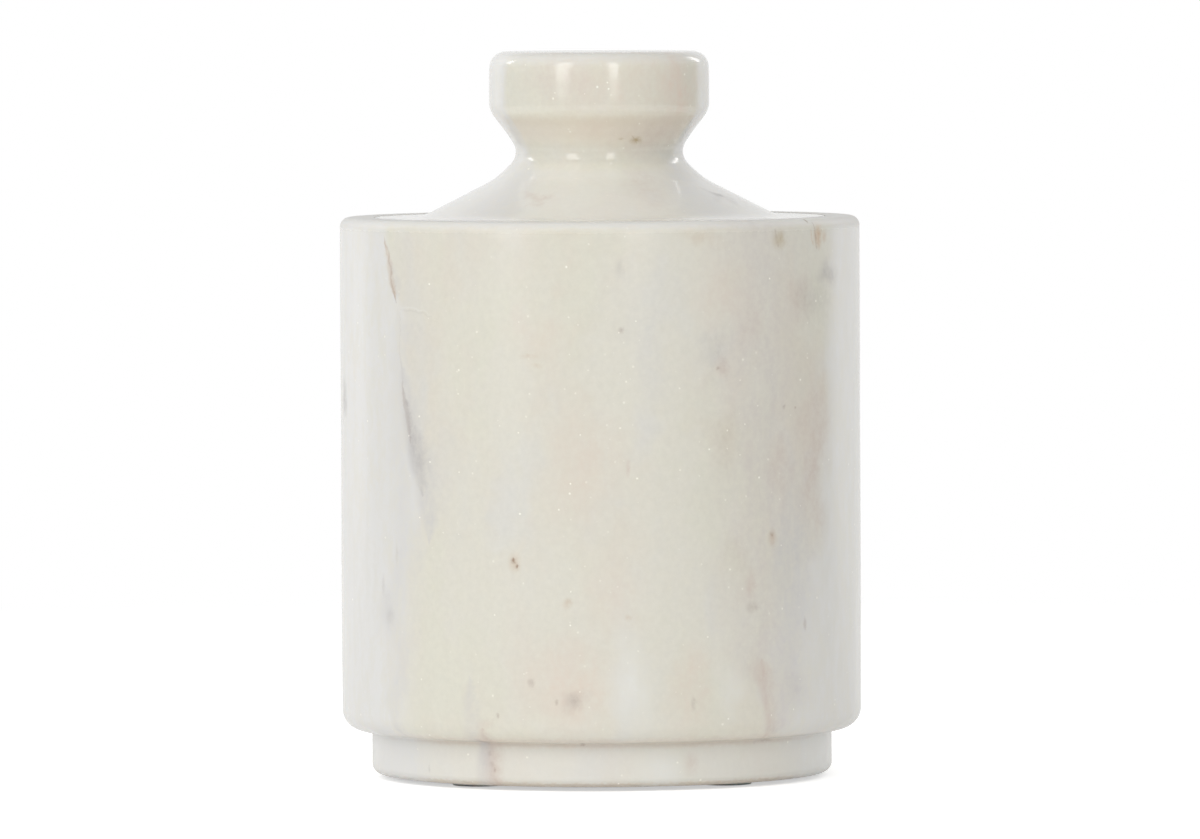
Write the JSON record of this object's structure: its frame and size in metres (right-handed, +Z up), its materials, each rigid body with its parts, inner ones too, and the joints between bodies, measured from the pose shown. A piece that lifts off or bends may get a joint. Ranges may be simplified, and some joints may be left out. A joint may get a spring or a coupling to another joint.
{
  "type": "salt cellar",
  "caption": "Round marble salt cellar: a footed jar with straight sides and a flush lid that lifts off by its flared knob.",
  "frame": {"origin": "on the turning axis, at the surface that the cellar stands on", "axes": "+Z up along the turning axis, +X to the right of the picture's viewer, -Y towards the viewer"},
  "size_m": [0.1, 0.1, 0.1395],
  "materials": {
    "jar_marble": "satin-polished white marble",
    "lid_marble": "satin-polished white marble",
    "pad_rubber": "matt, milky"
  },
  "bodies": {
    "jar": {"jar": "jar_marble", "foot_pads": "pad_rubber"},
    "lid": {"lid": "lid_marble"}
  },
  "joints": [
    {"name": "lid_lift", "type": "slide", "parent": "jar", "child": "lid", "axis": [0, 0, 1], "range_m": [0, 0.1]}
  ]
}
